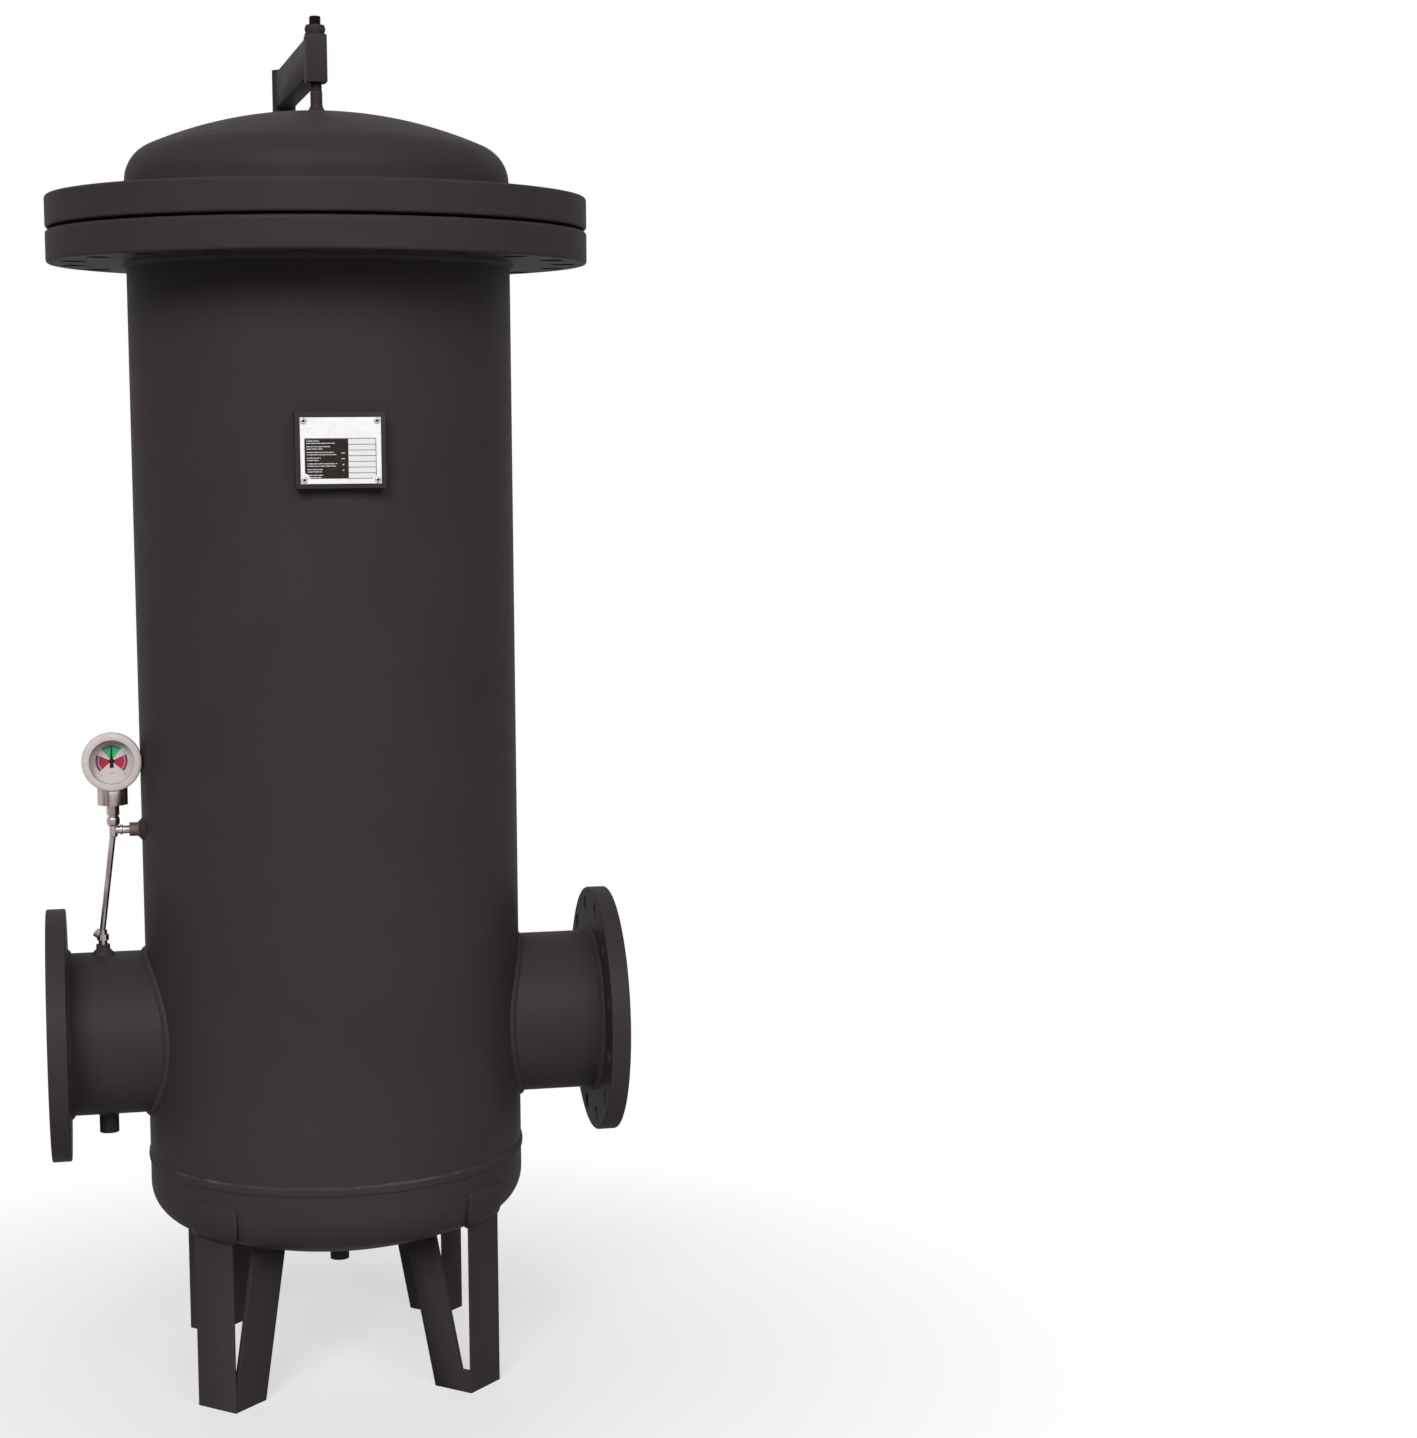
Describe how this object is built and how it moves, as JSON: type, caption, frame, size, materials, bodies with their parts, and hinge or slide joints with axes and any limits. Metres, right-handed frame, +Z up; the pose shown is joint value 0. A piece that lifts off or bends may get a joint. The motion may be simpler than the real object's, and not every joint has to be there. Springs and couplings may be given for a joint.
{
  "type": "bag filter housing",
  "caption": "Welded bag filter vessel on four legs with in-line low flanged nozzles, davit-lifted flanged cover, inner baskets with bags and a pressure gauge.",
  "frame": {"origin": "on the floor, in the middle of the footprint of the whole housing; the vessel axis stands 33.7 mm from it towards -Y", "axes": "+Z up along the vessel, +X from the inlet nozzle to the outlet nozzle, -Y the front with the nameplate and the gauge dial"},
  "size_m": [0.768, 0.7823, 1.844],
  "materials": {
    "paint": "semi-gloss dark enamel with a fine orange peel",
    "plug_steel": "zinc plated",
    "plate_steel": "brushed",
    "gasket": "matte fibre sheet",
    "stainless": "pickled",
    "felt": "needle felt",
    "bag_ring": "moulded",
    "gauge_metal": "satin stainless",
    "dial": "printed white",
    "lens": "clear",
    "pointer": "matte black"
  },
  "bodies": {
    "vessel": {"shell": "paint", "bottom_head": "paint", "bottom_seam_weld": "paint", "body_flange": "paint", "body_flange_weld": "paint", "inlet_pipe": "paint", "inlet_flange": "paint", "inlet_welds": "paint", "outlet_pipe": "paint", "outlet_flange": "paint", "outlet_welds": "paint", "leg_front_left": "paint", "leg_front_right": "paint", "leg_rear_left": "paint", "leg_rear_right": "paint", "bottom_drain_socket": "paint", "inlet_drain_socket": "paint", "drain_plugs": "plug_steel", "shell_gauge_socket": "paint", "nozzle_gauge_socket": "paint", "nameplate_bracket": "paint", "nameplate": "plate_steel", "nameplate_rivets": "plate_steel", "davit_socket": "paint", "davit_bracket": "paint", "cover_gasket": "gasket", "seat_ring": "stainless", "plate_gasket": "gasket", "basket_plate": "stainless", "inlet_elbow": "stainless", "inlet_riser": "stainless", "basket_front": "stainless", "basket_back": "stainless", "bag_front": "felt", "bag_back": "felt", "bag_rings": "bag_ring", "hold_down_bar": "stainless", "hold_down_stud": "stainless", "hold_down_nut": "stainless", "gauge_case": "gauge_metal", "gauge_bezel": "gauge_metal", "gauge_dial": "dial", "gauge_lens": "lens", "gauge_base": "gauge_metal", "gauge_stem": "gauge_metal", "gauge_tee": "gauge_metal", "gauge_nipple": "gauge_metal", "impulse_tube": "gauge_metal", "tube_fitting": "gauge_metal"},
    "davit": {"davit_column": "paint", "davit_collar": "paint", "davit_arm": "paint", "davit_block": "paint", "lifting_washer": "paint"},
    "cover": {"cover_head": "paint", "cover_flange": "paint", "cover_seam_weld": "paint", "lifting_rod": "paint"},
    "nut": {"lifting_nut": "paint"},
    "pointer": {"gauge_pointer": "pointer"}
  },
  "joints": [
    {"name": "davit_swing", "type": "hinge", "parent": "vessel", "child": "davit", "pos_m": [-0.01535, 0.366, 1.4], "axis": [0, 0, 1], "range_deg": [-150, 150]},
    {"name": "cover_lift", "type": "slide", "parent": "davit", "child": "cover", "axis": [0, 0, 1], "range_m": [0, 0.025]},
    {"name": "nut_turn", "type": "hinge", "parent": "davit", "child": "nut", "pos_m": [0, -0.03365, 1.82], "axis": [0, 0, 1], "range_deg": [-10, 4520]},
    {"name": "pointer_turn", "type": "hinge", "parent": "vessel", "child": "pointer", "pos_m": [-0.29146, -0.05965, 0.861], "axis": [0, -1, 0], "range_deg": [-120, 120]}
  ],
  "couplings": [
    {"joint": "nut_turn", "follows": "cover_lift", "rad_per_m": 3141.6}
  ]
}
